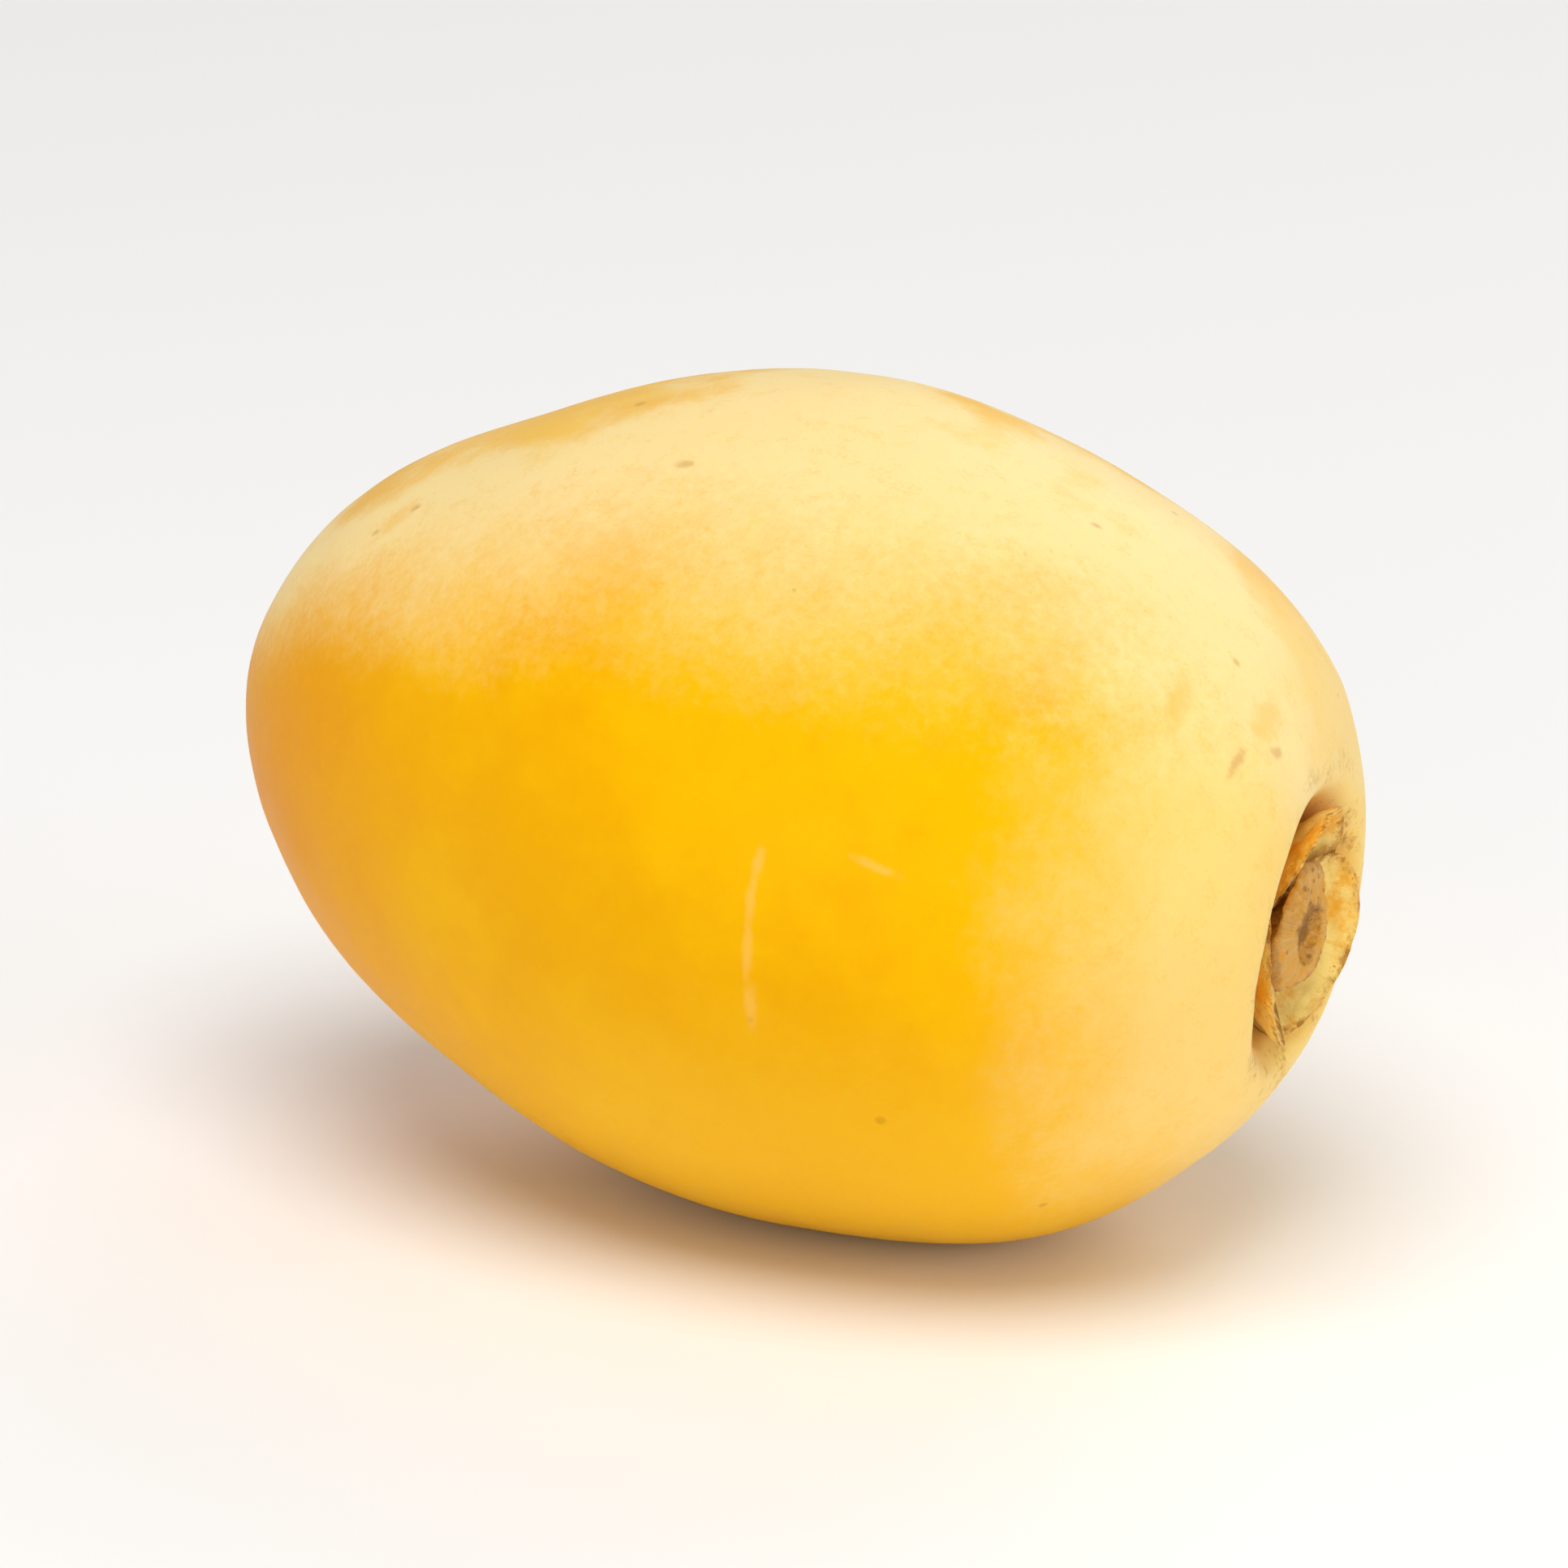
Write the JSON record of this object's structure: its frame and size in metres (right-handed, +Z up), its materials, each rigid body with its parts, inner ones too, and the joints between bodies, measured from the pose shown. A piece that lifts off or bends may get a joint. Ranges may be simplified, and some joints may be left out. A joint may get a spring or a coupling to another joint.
{
  "type": "date",
  "caption": "Fresh yellow date, a whole plump egg-shaped fruit lying on its side, with its dry petals and sepal cup in a shallow socket at the stalk end.",
  "frame": {"origin": "on the surface the date lies on, at the middle of the small flat spot on its underside", "axes": "+X along the fruit towards its calyx (stalk end), -X towards its apex, +Y to its side, +Z up from the surface it rests on"},
  "size_m": [0.0372, 0.0276, 0.0264],
  "materials": {
    "skin": "satin, waxy golden-yellow fruit skin with a pale bloom",
    "petal": "matt, leathery yellow-orange petal with a thin dry brown margin",
    "sepal": "dry, corky tan with a brown scar"
  },
  "bodies": {
    "root": {"fruit": "skin", "petal_1": "petal", "petal_2": "petal", "petal_3": "petal", "sepal_cup": "sepal"}
  },
  "joints": []
}
